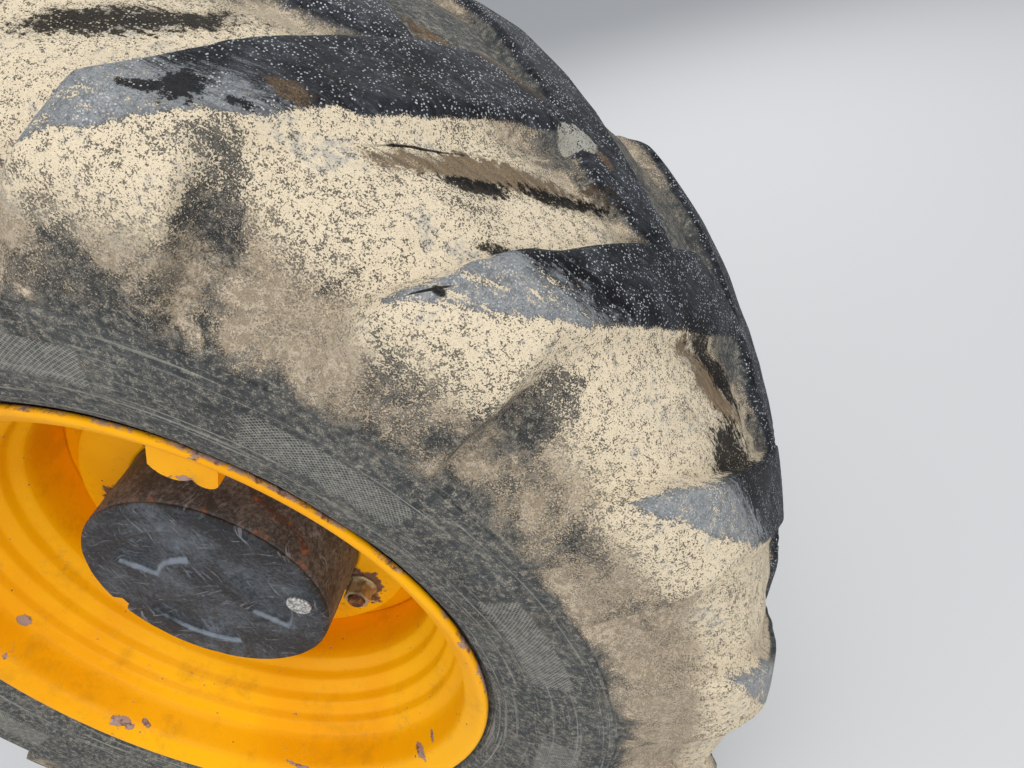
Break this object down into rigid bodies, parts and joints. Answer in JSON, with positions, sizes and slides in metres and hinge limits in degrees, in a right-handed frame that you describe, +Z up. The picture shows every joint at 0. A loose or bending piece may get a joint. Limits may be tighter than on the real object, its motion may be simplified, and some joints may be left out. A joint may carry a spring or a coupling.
{
  "type": "telehandler wheel on its steering knuckle",
  "caption": "Steered telehandler wheel: lugged tyre on a drop-centre rim with planetary hub, turning on the spindle of a cast knuckle.",
  "frame": {"origin": "where the kingpin axis crosses the wheel axis, between the knuckle's two ears", "axes": "+Z up along the kingpin axis, +Y inboard along the wheel axis, +X towards the front of the machine"},
  "size_m": [1.206, 0.548, 1.206],
  "materials": {
    "tyre_rubber": "worn black rubber, dried pale mud over the shoulders and in the grooves",
    "rim_paint": "orange-yellow enamel, chipped to grey primer and rust at the flange",
    "drum_paint": "worn black paint on a rough casting, rusted on the drum's side",
    "axle_paint": "black axle paint on a rough casting, dusty",
    "machined_steel": "turned steel with an oil film",
    "bolt_steel": "plated steel, dulled",
    "stud_steel": "dark rusted steel",
    "nut_steel": "dull yellowed plating over steel, rusty in the corners",
    "plug_steel": "bright plated steel",
    "valve_brass": "dull brass",
    "bush_bronze": "bronze bush"
  },
  "bodies": {
    "knuckle": {"knuckle": "axle_paint", "kingpin_bush_upper": "bush_bronze", "kingpin_bush_lower": "bush_bronze", "spindle": "machined_steel", "spindle_bolts": "bolt_steel", "steering_arm": "axle_paint", "arm_bolts": "bolt_steel", "steering_stop": "bolt_steel"},
    "wheel": {"tyre": "tyre_rubber", "rim": "rim_paint", "wheel_disc": "rim_paint", "hub": "drum_paint", "drive_cover": "drum_paint", "oil_plug": "plug_steel", "wheel_studs": "stud_steel", "wheel_nuts": "nut_steel", "valve_stem": "valve_brass", "valve_guard": "rim_paint"}
  },
  "joints": [
    {"name": "wheel_spin", "type": "hinge", "parent": "knuckle", "child": "wheel", "pos_m": [0, 0, 0], "axis": [0, 1, 0], "continuous": true}
  ]
}
